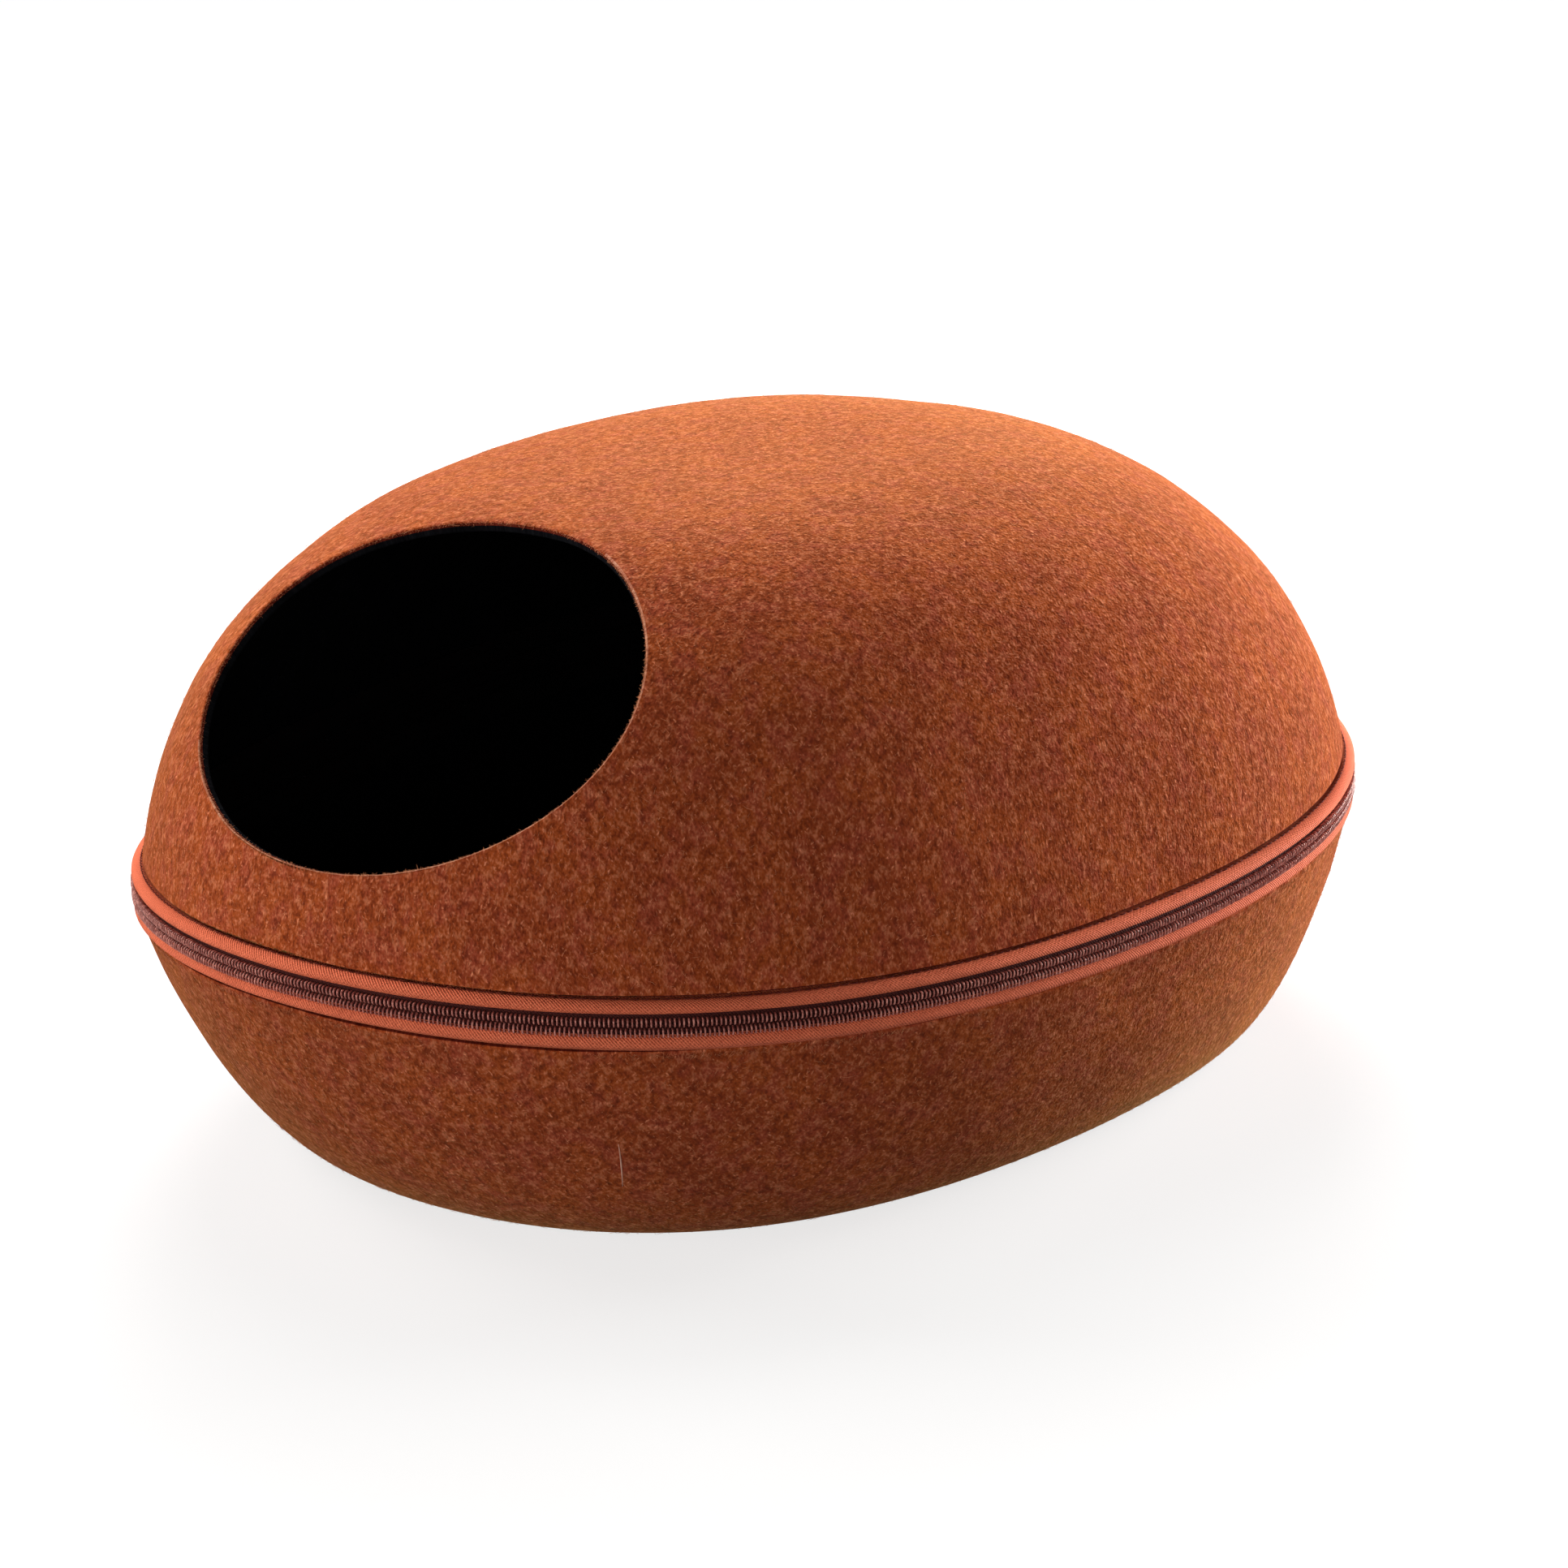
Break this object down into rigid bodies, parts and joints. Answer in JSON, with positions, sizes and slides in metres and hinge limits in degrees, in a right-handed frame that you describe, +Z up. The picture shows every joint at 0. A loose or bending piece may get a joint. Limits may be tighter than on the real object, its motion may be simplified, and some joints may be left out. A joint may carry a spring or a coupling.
{
  "type": "cat bed",
  "caption": "Felt cat cave: an egg-shaped shell in two moulded halves, with an oval entrance in the dome and a zip all round the rim.",
  "frame": {"origin": "middle of the bounding box, on the surface that the flat base stands on", "axes": "+Y from the entrance end towards the back end, along the length; +Z up; +X to the right of someone who looks from the entrance end towards the back"},
  "size_m": [0.4008, 0.485, 0.2294],
  "materials": {
    "felt": "moulded heathered rust-orange felt, matte, with fine pale and dark fibres",
    "zip_tape": "woven twill tape, rust orange, matte",
    "zip_coil": "dark brown nylon coil, satin",
    "slider": "dark painted die-cast metal, satin"
  },
  "bodies": {
    "root": {"upper_shell": "felt", "lower_shell": "felt", "upper_tape": "zip_tape", "lower_tape": "zip_tape", "upper_coil": "zip_coil", "lower_coil": "zip_coil", "zip_slider": "slider", "zip_pull": "slider"}
  },
  "joints": []
}
